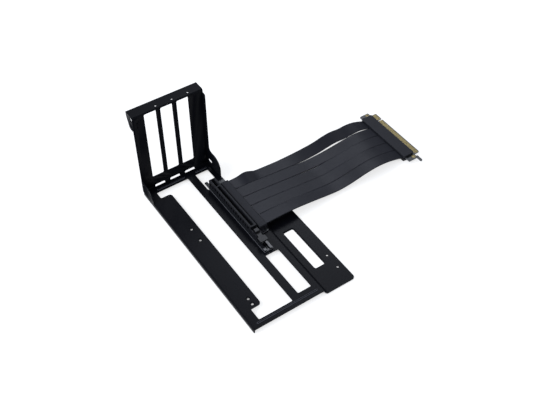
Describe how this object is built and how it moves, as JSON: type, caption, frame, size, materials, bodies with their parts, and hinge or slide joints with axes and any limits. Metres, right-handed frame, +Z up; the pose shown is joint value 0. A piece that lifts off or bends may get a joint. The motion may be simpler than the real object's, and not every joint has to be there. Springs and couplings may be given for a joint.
{
  "type": "vertical graphics card bracket",
  "caption": "Folded black sheet-steel bracket that holds a graphics card upright, with a card slot and latch on a riser board, a flat ribbon cable and an edge connector.",
  "frame": {"origin": "centre of the bracket's footprint, on the surface it stands on", "axes": "+Z up, +X from the slot panel towards the bracket's front edge, +Y towards the ribbon and its edge connector"},
  "size_m": [0.2536, 0.3142, 0.1189],
  "materials": {
    "powder_coat": "matte black powder coat",
    "film": "thin insulating film",
    "board": "black solder mask on a circuit board",
    "slot_plastic": "moulded, slightly shiny",
    "latch_plastic": "moulded, glossy",
    "cover_plastic": "moulded, matte",
    "ribbon": "flat ribbon jacket, satin",
    "gold_plate": "thin gold plate",
    "screw_steel": "black zinc"
  },
  "bodies": {
    "frame": {"bracket": "powder_coat", "insulating_film": "film", "riser_board": "board", "slot_housing": "slot_plastic", "slot_contacts_left": "gold_plate", "slot_contacts_right": "gold_plate", "riser_cover": "cover_plastic", "board_screw": "screw_steel", "cover_screws": "screw_steel", "ribbon_strip_1": "ribbon", "ribbon_strip_2": "ribbon", "ribbon_strip_3": "ribbon", "ribbon_strip_4": "ribbon", "ribbon_strip_5": "ribbon", "edge_board": "board", "edge_contacts_upper": "gold_plate", "edge_contacts_lower": "gold_plate", "ear_eyelets": "gold_plate", "edge_cover_lower": "cover_plastic", "edge_cover_upper": "cover_plastic"},
    "latch": {"slot_latch": "latch_plastic"}
  },
  "joints": [
    {"name": "latch_hinge", "type": "hinge", "parent": "frame", "child": "latch", "pos_m": [0.02305, 0.00645, 0.0116], "axis": [0, 1, 0], "range_deg": [0, 12], "stiffness_Nm_per_rad": 0.05, "springref_deg": -5.73}
  ]
}
